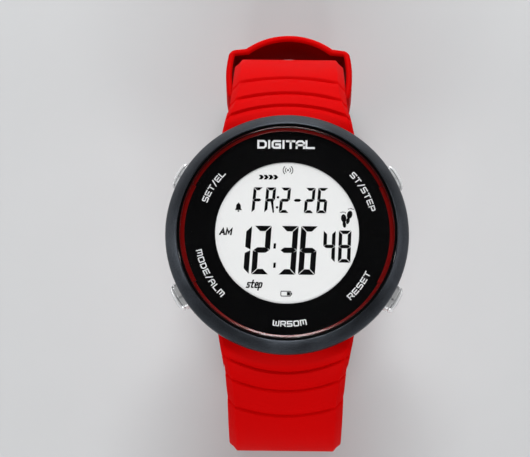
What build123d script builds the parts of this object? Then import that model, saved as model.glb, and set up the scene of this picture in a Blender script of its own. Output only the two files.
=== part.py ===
"""Round digital sports smartwatch, unbuckled and standing on its strap, dial up.

Frame: +Z up along the dial axis, +Y towards 12 o'clock, +X towards 3 o'clock. The origin lies on the
dial axis, on the plane that the strap stands on. Every function models its piece in the case's own
heights (z = 0 at the case back's rear face); main() lifts them all by CASE_LIFT.
"""

from build123d import *
from math import cos, degrees, radians, sin
import os

# ---- Driving dimensions, millimetres and degrees ------------------------------------------------
CASE_R = 25.0  # widest radius, at the bezel's waist
WALL_R = 22.3  # case side wall below the bezel
CAVITY_R = 18.2
BEZEL_WAIST_Z = 11.0
LIP_R = 22.5
LIP_Z = 14.4
BACK_R = 21.6
BACK_T = 1.4
SHELF_Z = 12.1  # top of the shelf that carries dial and lens
SHELF_BORE_R = 17.5
WINDOW_R = 14.75  # round window of the dial over the display
DIAL_R = 20.7
RING_R = 22.4
LENS_R = 22.0
LENS_Z = 12.95
LENS_T = 1.2

BUTTON_ANGLES = {"upper_right": 30, "upper_left": 150, "lower_left": 210, "lower_right": 330}
BUTTON_Z = 6.9
BUTTON_TRAVEL = 0.8
CAP_LENGTH = 5.8
CAP_HEIGHT = 3.1
CAP_CORNER = 0.95
CAP_IN_R = 23.2
CAP_OUT_R = 26.5
POCKET_R = 22.3
STEM_R = 0.9
STEM_TIP_R = 17.4
TUBE_IN_R = 18.2
TUBE_OUT_R = 20.3

BAR_Y = 25.0  # spring bar axis, both sides
BAR_Z = 5.2
BAR_R = 0.9
LUG_IN_X = 10.0
LUG_OUT_X = 12.4
LUG_R = 1.8
LUG_HEADROOM = 1.0  # over the lugs, inboard of the bar, where the pivoting root comes down

ROOT_START = (23.3, 9.9)  # outer skin of the strap where it dives under the bezel
ROOT_HEADING = -12.0  # its slope there
ROOT_RUNS = [(11.0, 28.0), (64.0, 10.0), (30.0, 8.0)]  # (radius, turn) of each arc
ROOT_T = 4.2
COLLAR_Z = 9.87  # top of the part that lies between the case and the skin's start
STRAP_HALF_W = 11.75
LEG_T = 3.8
LEG_ARCS = [(48.0, 18.0), (10.0, 29.0)]
LEG_END_HALF_W = 11.2
FRONT_ARC = (20.5, 42.0)
BEND_ARC = (30.0, 50.0)
TAIL_ARC = (30.0, 30.0)
TAIL_T = 3.2
TAIL_LENGTH = 26.4  # flat run from the bend to the tip
TAIL_HALF_W = 11.0
HINGE_GAP = 0.3
TAIL_HINGE_GAP = 0.4
GROOVES = (28.1, 31.5, 36.0)  # plan radii of the arched grooves
GROOVE_W = 0.6
GROOVE_DEPTH = 0.5
EDGE_CHAMFER = 1.6
HOLE_R = 1.2
HOLE_PITCH = 5.5
HOLE_FIRST = 10.5
HOLE_COUNT = 6

KNUCKLE_R = 2.1
BUCKLE_BAR_R = 0.75
BUCKLE_HALF_W = 13.2
BUCKLE_WINDOW = 11.55
BUCKLE_REACH = 15.0
BUCKLE_FAR_BAR = 2.6
BUCKLE_T = 2.4
BUCKLE_DROP = 0.9  # plate's mid-plane below the bar's axis
TONGUE_W = 2.2
TONGUE_NOTCH = 7.0

KEEPER_BAND = 9.0
KEEPER_START = 0.8  # from the start of the straight leg
KEEPER_HALF_W = 13.9
KEEPER_SIDE = 1.35
KEEPER_SHOULDER = 4.7  # above the strap's skin
KEEPER_ARCH = 8.4
KEEPER_ARCH_HALF = 9.6
KEEPER_DEPTH = 8.2  # below the strap's skin
KEEPER_BAR = 1.5


# ---- Strap side profile ------------------------------------------------------------------------
class Run:
    """A chain of tangent arcs and lines in the side view: u is outwards from the dial axis, v is up."""

    def __init__(self, start, heading):
        self.point = start
        self.heading = heading
        self.steps = []

    def arc(self, radius, turn):
        """Bends downwards and inwards by turn degrees."""
        self.steps.append(("arc", self.point, self.heading, radius, turn))
        u, v = self.point
        a, b = radians(self.heading), radians(self.heading - turn)
        self.point = (u + radius * (sin(a) - sin(b)), v - radius * (cos(a) - cos(b)))
        self.heading -= turn
        return self

    def line(self, length):
        self.steps.append(("line", self.point, self.heading, length, 0.0))
        u, v = self.point
        a = radians(self.heading)
        self.point = (u + length * cos(a), v + length * sin(a))
        return self

    def inset(self, depth):
        """The end point moved into the strap by depth."""
        return inset_point(self.point, self.heading, depth)

    def edges(self, depth):
        """The chain at a depth below the skin."""
        made = []
        for kind, start, heading, size, turn in self.steps:
            u, v = inset_point(start, heading, depth)
            a = radians(heading)
            if kind == "arc":
                made.append(JernArc((u, v), (cos(a), sin(a)), size - depth, -turn))
            else:
                made.append(Line((u, v), (u + size * cos(a), v + size * sin(a))))
        return made

    def band(self, top, bottom):
        """The face between two depths below the skin."""
        outer, inner = self.edges(top), self.edges(bottom)
        ends = [Line(outer[0] @ 0, inner[0] @ 0), Line(outer[-1] @ 1, inner[-1] @ 1)]
        return make_face([*outer, *inner, *ends])


def inset_point(point, heading, depth):
    a = radians(heading)
    return (point[0] + depth * sin(a), point[1] - depth * cos(a))


def root_run():
    run = Run(ROOT_START, ROOT_HEADING)
    for radius, turn in ROOT_RUNS:
        run.arc(radius, turn)
    return run


def after(run):
    """A new chain that goes on where run ends."""
    return Run(run.point, run.heading)


ROOT = root_run()
FLEX = ROOT.inset(ROOT_T / 2)  # bending axis between root and leg
FRONT = after(ROOT).arc(*FRONT_ARC).arc(*BEND_ARC)
TAIL_FLEX = FRONT.inset(LEG_T / 2)
TAIL = after(FRONT).arc(*TAIL_ARC).line(TAIL_LENGTH)
CASE_LIFT = -TAIL.point[1]  # the tail's outer face lies on z = 0

LEG = after(ROOT)
for leg_radius, leg_turn in LEG_ARCS:
    LEG.arc(leg_radius, leg_turn)
LEG_START, LEG_HEADING = LEG.point, LEG.heading
KNUCKLE_V = KNUCKLE_R - CASE_LIFT  # the knuckle touches the ground too
LEG_LENGTH = (LEG.inset(LEG_T / 2)[1] - KNUCKLE_V) / -sin(radians(LEG_HEADING))
LEG.line(LEG_LENGTH)
KNUCKLE = LEG.inset(LEG_T / 2)


# ---- Small helpers -----------------------------------------------------------------------------
def ring(outer, inner, low, high):
    """A flat-ended tube on the dial axis."""
    tube = Cylinder(outer, high - low) - Cylinder(inner, high - low)
    return Pos(0, 0, (low + high) / 2) * tube


def disc(radius, low, high):
    return Pos(0, 0, (low + high) / 2) * Cylinder(radius, high - low)


def spun(*points):
    """A solid of revolution about the dial axis from (radius, height) points."""
    return revolve(Plane.XZ * make_face(Polyline(*points, close=True)), Axis.Z)


def block(x, y, z):
    """A box from three (low, high) pairs."""
    size = [high - low for low, high in (x, y, z)]
    middle = [(high + low) / 2 for low, high in (x, y, z)]
    return Pos(*middle) * Box(*size)


def pin_x(radius, low, high, u, v):
    """A cylinder along X through the point (u, v) of the side view."""
    return Pos((low + high) / 2, u, v) * Rot(0, 90, 0) * Cylinder(radius, high - low)


def slab(face, half_width):
    """A side-view face swept across the watch."""
    return extrude(Plane.YZ * face, half_width, both=True)


def at_button(angle, shape):
    """Places a shape modelled along +X, at the height of the buttons."""
    return Rot(0, 0, angle) * Pos(0, 0, BUTTON_Z) * shape


def along_x(radius, low, high):
    return Pos((low + high) / 2, 0, 0) * Rot(0, 90, 0) * Cylinder(radius, high - low)


def tube_x(outer, inner, low, high):
    return along_x(outer, low, high) - along_x(inner, low, high)


def pill(length, height, low, high):
    """A bar with rounded corners seen end-on from +X, between two radii."""
    outline = Plane.YZ.offset(low) * RectangleRounded(length, height, CAP_CORNER)
    return extrude(outline, high - low)


def coil(radius, wire_r, length, turns):
    """A compression spring along +Z from z = 0, wire centre to wire centre."""
    path = Helix(length / turns, length, radius)
    section = Plane(path @ 0, z_dir=path % 0) * Circle(wire_r)
    return sweep(section, path)


# ---- Case ---------------------------------------------------------------------------------------
def bezel():
    flank = ThreePointArc((22.85, LIP_Z), (24.25, 13.0), (CASE_R, BEZEL_WAIST_Z + 0.2))
    rest = Polyline(
        (CASE_R, BEZEL_WAIST_Z + 0.2), (CASE_R, BEZEL_WAIST_Z - 0.2), (24.4, 10.4),
        (LIP_R, 10.4), (LIP_R, LIP_Z), (22.85, LIP_Z),
    )
    return revolve(Plane.XZ * make_face([flank, rest]), Axis.Z)


def lug(side_x, side_y):
    """One arm with its rounded nose, and the blind hole that takes the spring bar's pin."""
    y_end = BAR_Y * side_y
    across = sorted((LUG_IN_X * side_x, LUG_OUT_X * side_x))
    arm = block(across, sorted((18.6 * side_y, y_end)), (BAR_Z - LUG_R, BAR_Z + LUG_R))
    nose = pin_x(LUG_R, *across, y_end, BAR_Z)
    socket = pin_x(0.5, *sorted(((LUG_IN_X - 0.1) * side_x, 11.6 * side_x)), y_end, BAR_Z)
    return arm + nose, socket


def case_body():
    body = spun(
        (CAVITY_R, BACK_T), (BACK_R, BACK_T), (WALL_R, 2.6), (WALL_R, 10.38), (LIP_R - 0.03, 10.38),
        (LIP_R - 0.03, SHELF_Z), (SHELF_BORE_R, SHELF_Z), (SHELF_BORE_R, 10.9), (CAVITY_R, 10.9),
    )
    sockets = []
    for side_x in (-1, 1):
        for side_y in (-1, 1):
            arm, socket = lug(side_x, side_y)
            body += arm
            sockets.append(socket)
    for angle in BUTTON_ANGLES.values():
        boss = Pos(22.8, 0, 0) * Box(2.8, 8.4, 5.4)
        body += at_button(angle, fillet(boss.edges().filter_by(Axis.X), 1.0))
    body -= disc(CAVITY_R, 0, 10.9)
    for socket in sockets:
        body -= socket
    for angle in BUTTON_ANGLES.values():
        body -= at_button(angle, pill(CAP_LENGTH + 0.3, CAP_HEIGHT + 0.3, POCKET_R, 26.0))
        body -= at_button(angle, along_x(1.75, TUBE_OUT_R, POCKET_R + 0.1))
        body -= at_button(angle, along_x(1.5, CAVITY_R - 0.8, TUBE_OUT_R + 0.1))
    body -= ring(19.1, 18.5, BACK_T - 0.1, BACK_T + 0.6)
    for place in screw_places():
        body -= place * Pos(0, 0, BACK_T + 2.0) * Cylinder(0.6, 4.2)
    return body


def screw_places():
    return PolarLocations(20.2, 4, 45).locations


def case_back():
    plate = disc(BACK_R, 0, BACK_T)
    plate = chamfer(plate.edges().group_by(Axis.Z)[0], 0.5)
    plate -= ring(16.0, 15.6, -0.1, 0.12) + ring(19.0, 18.6, -0.1, 0.12)
    for place in screw_places():
        plate -= place * Pos(0, 0, BACK_T / 2) * Cylinder(0.7, BACK_T + 0.2)
        plate -= place * Pos(0, 0, 0.3) * Cylinder(1.2, 0.8)
    return plate


def case_back_screws():
    head = Pos(0, 0, 0.375) * Cylinder(1.1, 0.55)
    slots = Pos(0, 0, 0.2) * (Box(1.4, 0.3, 0.3) + Box(0.3, 1.4, 0.3))
    shank = Pos(0, 0, 2.6) * Cylinder(0.58, 4.0)
    screw = head - slots + shank
    return Compound([place * screw for place in screw_places()])


def case_back_gasket():
    return revolve(Pos(18.8, 0, BACK_T + 0.3) * Rot(90, 0, 0) * Circle(0.29), Axis.Z)


def lens():
    glass = disc(LENS_R, LENS_Z, LENS_Z + LENS_T)
    return chamfer(glass.edges().group_by(Axis.Z)[-1], 0.2)


def lens_gasket():
    return ring(LIP_R - 0.03, LENS_R + 0.02, LENS_Z, LENS_Z + 0.95)


def accent_ring():
    return spun(
        (DIAL_R + 0.05, SHELF_Z + 0.01), (RING_R, SHELF_Z + 0.01), (RING_R, LENS_Z - 0.03),
        (LENS_R - 0.05, LENS_Z - 0.03), (DIAL_R + 0.05, SHELF_Z + 0.2),
    )


def dial_mask():
    return ring(DIAL_R, WINDOW_R, SHELF_Z + 0.01, SHELF_Z + 0.19)


# ---- Display and module -------------------------------------------------------------------------
def display_polariser():
    return disc(16.6, 11.9, 12.05)


def display_cell():
    return disc(17.0, 10.55, 11.88)


def backlight_panel():
    return disc(15.0, 10.3, 10.5)


def strip_block(side, gap):
    """The space of one connector strip, grown by gap."""
    return block((-4.8 - gap, 4.8 + gap), sorted((side * (15.3 - gap), side * (16.3 + gap))), (8.02, 10.53))


def display_holder():
    holder = spun(
        (13.2, 8.05), (16.6, 8.05), (16.6, 8.8), (18.0, 8.8), (18.0, 10.85), (17.4, 10.85),
        (17.4, 11.8), (17.1, 11.8), (17.1, 10.5), (15.2, 10.5), (15.2, 10.25), (13.2, 10.25),
    )
    for side in (-1, 1):
        holder -= strip_block(side, 0.1)
    for place in module_screw_places():
        holder -= place * Pos(0, 0, 9.0) * Cylinder(0.6, 2.2)
    return holder


def connector_strips():
    return Compound([strip_block(side, 0.0) for side in (-1, 1)])


def module_screw_places():
    return [Rot(0, 0, angle) * Pos(14.4, 0, 0) for angle in (65, 185, 295)]


def module_screws():
    screw = Pos(0, 0, 2.1) * Cylinder(1.05, 0.5) + Pos(0, 0, 5.85) * Cylinder(0.56, 7.2)
    screw -= Pos(0, 0, 1.9) * Box(1.3, 0.3, 0.4)
    return Compound([place * screw for place in module_screw_places()])


def circuit_board():
    board = disc(17.0, 7.2, 8.0)
    for angle in BUTTON_ANGLES.values():
        board -= Rot(0, 0, angle) * Pos(18.3, 0, 7.6) * Box(4.0, 5.0, 1.0)
    for place in module_screw_places():
        board -= place * Pos(0, 0, 7.6) * Cylinder(0.65, 1.0)
    return board


PARTS_ON_BOARD = [  # centre x, y and size x, y, height of each component
    (0.0, 12.8, 4.6, 3.6, 1.0),
    (0.0, -12.8, 3.6, 3.6, 0.9),
    (3.6, -12.6, 2.2, 1.5, 0.8),
    (-5.2, -12.6, 2.0, 1.2, 0.6),
    (-5.0, 12.4, 2.5, 2.0, 0.9),
]


def board_components():
    made = [Pos(x, y, 7.19 - h / 2) * Box(a, b, h) for x, y, a, b, h in PARTS_ON_BOARD]
    return Compound(made)


def module_frame():
    frame = disc(16.2, 2.4, 7.1)
    frame -= disc(10.2, 2.3, 6.3) + disc(6.0, 6.2, 7.2)
    for x, y, a, b, h in PARTS_ON_BOARD:
        frame -= Pos(x, y, 6.4) * Box(a + 0.6, b + 0.6, 1.6)
    for side in (-1, 1):
        frame -= Pos(side * 11.6, 0, 4.7) * Cylinder(1.1, 5.0)
        frame -= block(sorted((side * 7.0, side * 16.5)), (2.6, 6.4), (2.3, 2.88))
    for place in module_screw_places():
        frame -= place * Pos(0, 0, 4.7) * Cylinder(0.65, 5.0)
    return frame


def battery():
    can = disc(10.0, 2.75, 5.45)
    can = fillet(can.edges().group_by(Axis.Z)[0], 0.4)
    return can + disc(8.7, 5.4, 5.95)


def battery_clip():
    strap = block((-13.6, 13.6), (2.8, 6.2), (2.4, 2.65))
    hooks = [block(sorted((side * 13.35, side * 13.6)), (2.8, 6.2), (2.4, 2.85)) for side in (-1, 1)]
    return strap + hooks


def battery_contact():
    leaf = block((-4.5, 4.5), (-1.5, 1.5), (5.97, 6.15))
    return leaf + block((-4.5, -3.2), (-1.5, 1.5), (6.1, 7.18))


def buzzer_disc():
    return disc(12.6, BACK_T + 0.01, BACK_T + 0.25)


def buzzer_springs():
    wire = 0.14
    low, high = BACK_T + 0.27 + wire, 7.18 - wire
    spring = coil(0.65, wire, high - low, 8)
    return Compound([Pos(side * 11.6, 0, low) * spring for side in (-1, 1)])


def switch_leaves():
    leaf = Pos(16.38, 0, -0.05) * Box(0.14, 2.4, 2.2)
    return Compound([at_button(angle, leaf) for angle in BUTTON_ANGLES.values()])


# ---- Buttons ------------------------------------------------------------------------------------
def button(angle):
    cap = pill(CAP_LENGTH, CAP_HEIGHT, CAP_IN_R, CAP_OUT_R)
    cap = fillet(cap.edges().group_by(Axis.X)[-1], 0.55)
    cap -= Pos(CAP_OUT_R - 1.5, 0, CAP_HEIGHT / 2) * Box(1.6, 0.45, 0.9)
    stem = along_x(STEM_R, STEM_TIP_R, CAP_IN_R + 0.1)
    for middle in (19.35, 20.05):
        stem -= tube_x(STEM_R + 0.1, 0.7, middle - 0.2, middle + 0.2)
    stem -= tube_x(STEM_R + 0.1, 0.62, 17.7, 18.1)
    return at_button(angle, cap + stem)


def button_seals(angle):
    seals = [tube_x(0.98, 0.7, middle - 0.18, middle + 0.18) for middle in (19.35, 20.05)]
    return Compound([at_button(angle, seal) for seal in seals])


def button_clip(angle):
    clip = tube_x(1.7, 0.64, 17.74, 18.06)
    clip -= Pos(17.9, 0, -1.2) * Box(1.0, 1.0, 2.4)
    return at_button(angle, clip)


def button_spring(angle):
    wire = 0.15
    length = CAP_IN_R - TUBE_OUT_R - 2 * wire - 0.04
    spring = Pos(TUBE_OUT_R + wire + 0.02, 0, 0) * Rot(0, 90, 0) * coil(1.4, wire, length, 4)
    return at_button(angle, spring)


def button_tubes():
    tube = tube_x(1.48, 1.0, TUBE_IN_R, TUBE_OUT_R)
    return Compound([at_button(angle, tube) for angle in BUTTON_ANGLES.values()])


# ---- Strap --------------------------------------------------------------------------------------
def on_side(side, shape):
    """Modelled on the 12 o'clock side; side -1 mirrors it to 6 o'clock."""
    return shape if side > 0 else mirror(shape, Plane.XZ)


def root_plan():
    """Plan outline of the strap where it widens towards the case."""
    half = [
        (14.0, 15.0), (14.0, 20.5), (12.6, 27.5), (11.95, 33.5), (STRAP_HALF_W, 40.0), (STRAP_HALF_W, 48.0),
    ]
    points = half + [(-x, y) for x, y in reversed(half)]
    return Pos(0, 0, -20) * extrude(make_face(Polyline(*points, close=True)), 40)


def strap_root(side):
    body = ROOT.band(0, ROOT_T)
    heel = make_face(Polyline((22.0, 5.9), (22.0, 2.8), (27.0, 2.8), (26.2, 6.0), close=True))
    collar = make_face(Polyline((17.5, 2.8), (17.5, COLLAR_Z), (23.4, COLLAR_Z), (23.4, 2.8), close=True))
    shape = slab(body, 15) + slab(heel, 15) + slab(collar, 15)
    shape &= root_plan()
    shape -= disc(WALL_R + 0.5, 0, 12)
    for side_x in (-1, 1):
        pocket = sorted((side_x * (LUG_IN_X - 0.25), side_x * (LUG_OUT_X + 0.25)))
        shape -= block(pocket, (15.0, BAR_Y), (0, BAR_Z + LUG_R + 0.3))
        shape -= block(pocket, (15.0, BAR_Y - 1), (0, BAR_Z + LUG_R + LUG_HEADROOM))
        shape -= pin_x(LUG_R + 0.3, *pocket, BAR_Y, BAR_Z)
        shape -= block(pocket, (BAR_Y - 1, BAR_Y + LUG_R + 0.3), (0, BAR_Z))
    shape -= pin_x(BAR_R + 0.1, -12, 12, BAR_Y, BAR_Z)
    skin = slab(ROOT.band(-1, GROOVE_DEPTH), 15)
    for radius in GROOVES:
        shape -= skin & ring(radius + GROOVE_W / 2, radius - GROOVE_W / 2, -12, 12)
    shape -= pin_x(LEG_T / 2 + HINGE_GAP, -15, 15, *FLEX)
    return on_side(side, shape)


def chamfered(shape, run, half_width):
    """Bevels the two long outer edges of a slab made from run."""
    skin = [Vector(0, *(step[1])) for step in run.steps]
    skin.append(Vector(0, *run.point))
    edges = []
    for edge in shape.edges():
        ends = (edge @ 0, edge @ 1)
        on_rim = all(abs(abs(p.X) - half_width) < 1e-4 for p in ends)
        on_skin = all(any(abs(p.Y - s.Y) + abs(p.Z - s.Z) < 1e-4 for s in skin) for p in ends)
        if on_rim and on_skin:
            edges.append(edge)
    return chamfer(edges, EDGE_CHAMFER)


def strap_upper_leg():
    """Hangs from the root to the buckle: a bored knuckle at its end, notched for the tongue."""
    half = STRAP_HALF_W
    shape = chamfered(slab(LEG.band(0, LEG_T), half), LEG, half)
    shape += pin_x(LEG_T / 2, -half, half, *FLEX)
    shape += pin_x(KNUCKLE_R, -half, half, *KNUCKLE)
    u, v = KNUCKLE
    end = LEG_END_HALF_W
    right = [(half, 4), (half, LEG_START[1]), (end, v), (end, v - 4)]
    left = [(-x, z) for x, z in reversed(right)]
    taper = Polyline(*right, *left, close=True)
    shape &= extrude(Plane.XZ * make_face(taper), 80, both=True)
    shape -= pin_x(BUCKLE_BAR_R + 0.08, -half - 1, half + 1, *KNUCKLE)
    shape -= block((-1.6, 1.6), (u - 6, u + 6), (v - 3, v + TONGUE_NOTCH))
    return shape


def strap_lower_front():
    half = STRAP_HALF_W
    shape = chamfered(slab(FRONT.band(0, LEG_T), half), FRONT, half)
    shape += pin_x(LEG_T / 2, -half, half, *FLEX)
    shape -= pin_x(TAIL_T / 2 + TAIL_HINGE_GAP, -half - 1, half + 1, *TAIL_FLEX)
    return on_side(-1, shape)


def hole_centres():
    """(u, v, heading) on the tail's skin of each adjusting hole, counted from the tip."""
    flat_end, flat_v = TAIL.point
    bend_radius = TAIL_ARC[0]
    for i in range(HOLE_COUNT):
        back = HOLE_FIRST + i * HOLE_PITCH
        turn = max(0.0, degrees((back - TAIL_LENGTH) / bend_radius))
        u = flat_end + min(back, TAIL_LENGTH) + bend_radius * sin(radians(turn))
        yield u, flat_v + bend_radius * (1 - cos(radians(turn))), turn


def strap_lower_tail():
    offset = (LEG_T - TAIL_T) / 2
    half = TAIL_HALF_W
    shape = slab(TAIL.band(0, offset + TAIL_T), half)
    shape = chamfered(shape, TAIL, half)
    shape += pin_x(TAIL_T / 2, -half, half, *TAIL_FLEX)
    tip_u = TAIL.point[0]
    middle = tip_u + half
    plan = block((-half - 1, half + 1), (middle, middle + 80), (-80, 20))
    shape &= plan + Pos(0, middle, -30) * Cylinder(half, 100)
    for u, v, turn in hole_centres():
        shape -= Pos(0, u, v) * Rot(turn, 0, 0) * Cylinder(HOLE_R, 12)
    return on_side(-1, shape)


def spring_bar(side):
    tube = pin_x(BAR_R, -LUG_IN_X + 0.1, LUG_IN_X - 0.1, BAR_Y, BAR_Z)
    return on_side(side, tube - pin_x(0.5, -12, 12, BAR_Y, BAR_Z))


def spring_bar_pins(side):
    pins = []
    for side_x in (-1, 1):
        low, high = sorted((side_x * 7.5, side_x * 11.4))
        pins.append(on_side(side, pin_x(0.47, low, high, BAR_Y, BAR_Z)))
    return Compound(pins)


# ---- Keeper and buckle --------------------------------------------------------------------------
def keeper_loop(half_width, depth, shoulder, arch, arch_half, corner):
    """Outline of the keeper seen along the strap: x across, y out of the strap's skin."""
    waist = half_width - 0.45
    side_top, side_low = shoulder - corner, -depth + corner
    right = [
        ThreePointArc((waist, side_top), (half_width, (side_top + side_low) / 2), (waist, side_low)),
        ThreePointArc(
            (waist, side_low), (waist - 0.3 * corner, -depth + 0.3 * corner), (waist - corner, -depth)
        ),
        ThreePointArc(
            (waist, side_top), (waist - 0.3 * corner, shoulder - 0.3 * corner), (waist - corner, shoulder)
        ),
        Line((waist - corner, shoulder), (arch_half, shoulder + 0.3)),
    ]
    left = [mirror(edge, Plane.YZ) for edge in right]
    crown = ThreePointArc((-arch_half, shoulder + 0.3), (0, arch), (arch_half, shoulder + 0.3))
    floor = Line((-(waist - corner), -depth), (waist - corner, -depth))
    return make_face([*right, *left, crown, floor])


def leg_plane(along):
    """Across the straight leg, along millimetres down it: x is across, y out of the skin."""
    a = radians(LEG_HEADING)
    origin = (0, LEG_START[0] + along * cos(a), LEG_START[1] + along * sin(a))
    return Plane(origin, x_dir=(1, 0, 0), z_dir=(0, -cos(a), -sin(a)))


def keeper():
    outer = keeper_loop(KEEPER_HALF_W, KEEPER_DEPTH, KEEPER_SHOULDER, KEEPER_ARCH, KEEPER_ARCH_HALF, 1.7)
    inner = keeper_loop(
        KEEPER_HALF_W - KEEPER_SIDE, KEEPER_DEPTH - KEEPER_BAR, KEEPER_SHOULDER - KEEPER_BAR,
        KEEPER_ARCH - KEEPER_BAR, KEEPER_ARCH_HALF - 0.6, 0.35,
    )
    plane = leg_plane(KEEPER_START)
    return extrude(plane * (outer - inner), -KEEPER_BAND)


def on_buckle(shape):
    """Modelled lying flat, the bar's axis along X at the origin, reaching towards -Y."""
    return Pos(0, *KNUCKLE) * shape


def buckle_frame():
    low, high = -BUCKLE_T / 2 - BUCKLE_DROP, BUCKLE_T / 2 - BUCKLE_DROP
    plate = block((-BUCKLE_HALF_W, BUCKLE_HALF_W), (-BUCKLE_REACH, 0.0), (low, high))
    plate = fillet(plate.edges().filter_by(Axis.Z).group_by(Axis.Y)[0], 3.0)
    for side in (-1, 1):
        eye = sorted((side * BUCKLE_WINDOW, side * BUCKLE_HALF_W))
        plate += pin_x(1.9, *eye, 0, 0)
    inner_end = -BUCKLE_REACH + BUCKLE_FAR_BAR
    plate -= block((-BUCKLE_WINDOW, BUCKLE_WINDOW), (inner_end, 4), (-4, 4))
    plate -= pin_x(BUCKLE_BAR_R + 0.08, -14.0, 14.0, 0, 0)
    plate -= block((-TONGUE_W / 2 - 0.2, TONGUE_W / 2 + 0.2), (-16, inner_end + 1), (high - 0.6, 4))
    return on_buckle(plate)


def buckle_tongue():
    eye = pin_x(1.55, -1.3, 1.3, 0, 0)
    top = BUCKLE_T / 2 - BUCKLE_DROP
    side_view = Polyline(
        (-0.8, 1.3), (-11.6, top + 0.75), (-14.6, top + 0.7), (-15.2, top + 0.1),
        (-15.0, top - 0.5), (-12.2, top - 0.5), (-0.8, -0.2), close=True,
    )
    prong = slab(make_face(side_view), TONGUE_W / 2)
    return on_buckle(eye + prong - pin_x(BUCKLE_BAR_R + 0.06, -3, 3, 0, 0))


def buckle_bar():
    return on_buckle(pin_x(BUCKLE_BAR_R, -13.1, 13.1, 0, 0))


# ---- Output -------------------------------------------------------------------------------------
def all_parts():
    parts = {
        "bezel": bezel(),
        "case_body": case_body(),
        "case_back": case_back(),
        "case_back_screws": case_back_screws(),
        "case_back_gasket": case_back_gasket(),
        "lens": lens(),
        "lens_gasket": lens_gasket(),
        "accent_ring": accent_ring(),
        "dial_mask": dial_mask(),
        "display_polariser": display_polariser(),
        "display_cell": display_cell(),
        "backlight_panel": backlight_panel(),
        "display_holder": display_holder(),
        "connector_strips": connector_strips(),
        "circuit_board": circuit_board(),
        "board_components": board_components(),
        "module_frame": module_frame(),
        "module_screws": module_screws(),
        "battery": battery(),
        "battery_clip": battery_clip(),
        "battery_contact": battery_contact(),
        "buzzer_disc": buzzer_disc(),
        "buzzer_springs": buzzer_springs(),
        "switch_leaves": switch_leaves(),
        "button_tubes": button_tubes(),
        "strap_upper_root": strap_root(1),
        "strap_lower_root": strap_root(-1),
        "strap_upper_leg": strap_upper_leg(),
        "strap_lower_front": strap_lower_front(),
        "strap_lower_tail": strap_lower_tail(),
        "keeper": keeper(),
        "buckle_frame": buckle_frame(),
        "buckle_tongue": buckle_tongue(),
        "buckle_bar": buckle_bar(),
    }
    for name, side in (("upper", 1), ("lower", -1)):
        parts[f"spring_bar_{name}"] = spring_bar(side)
        parts[f"spring_bar_{name}_pins"] = spring_bar_pins(side)
    for name, angle in BUTTON_ANGLES.items():
        parts[f"button_{name}"] = button(angle)
        parts[f"button_{name}_seals"] = button_seals(angle)
        parts[f"button_{name}_clip"] = button_clip(angle)
        parts[f"button_{name}_spring"] = button_spring(angle)
    return parts


def main():
    os.makedirs("parts", exist_ok=True)
    for name, shape in all_parts().items():
        export_step(Pos(0, 0, CASE_LIFT) * shape, f"parts/{name}.step")


if __name__ == "__main__":
    main()
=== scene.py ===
"""Looks of a round digital sports watch: dark steel bezel, glass over a round display, red silicone strap."""
from math import atan2, cos, degrees, hypot, pi, radians, sin, sqrt, tan

import bpy
import bmesh
from mathutils import Matrix, Vector


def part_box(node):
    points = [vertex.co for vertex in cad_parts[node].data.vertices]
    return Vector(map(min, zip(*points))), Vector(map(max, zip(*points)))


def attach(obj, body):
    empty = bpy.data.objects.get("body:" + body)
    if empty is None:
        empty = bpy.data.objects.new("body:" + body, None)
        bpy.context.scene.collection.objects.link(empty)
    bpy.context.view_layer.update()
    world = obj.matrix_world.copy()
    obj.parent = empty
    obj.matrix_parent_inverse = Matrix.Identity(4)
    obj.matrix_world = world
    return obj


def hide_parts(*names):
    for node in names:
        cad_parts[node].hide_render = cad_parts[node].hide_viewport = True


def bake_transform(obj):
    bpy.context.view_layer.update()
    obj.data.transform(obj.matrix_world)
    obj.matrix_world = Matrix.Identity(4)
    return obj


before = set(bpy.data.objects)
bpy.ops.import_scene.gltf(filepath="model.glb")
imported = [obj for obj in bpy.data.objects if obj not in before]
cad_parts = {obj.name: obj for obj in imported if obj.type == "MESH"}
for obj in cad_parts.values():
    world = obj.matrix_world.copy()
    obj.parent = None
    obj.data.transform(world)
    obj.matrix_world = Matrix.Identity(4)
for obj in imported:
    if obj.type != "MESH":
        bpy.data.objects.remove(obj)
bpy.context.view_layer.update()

MM = 0.001
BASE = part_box("case_back")[0][2] / MM  # height of the case back's rear face; case heights count from it


# ---- Node materials -----------------------------------------------------------------------------
def node(tree, kind, **values):
    made = tree.nodes.new(kind)
    for key, value in values.items():
        if hasattr(made, key):
            setattr(made, key, value)
        else:
            made.inputs[key.replace("_", " ")].default_value = value
    return made


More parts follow.
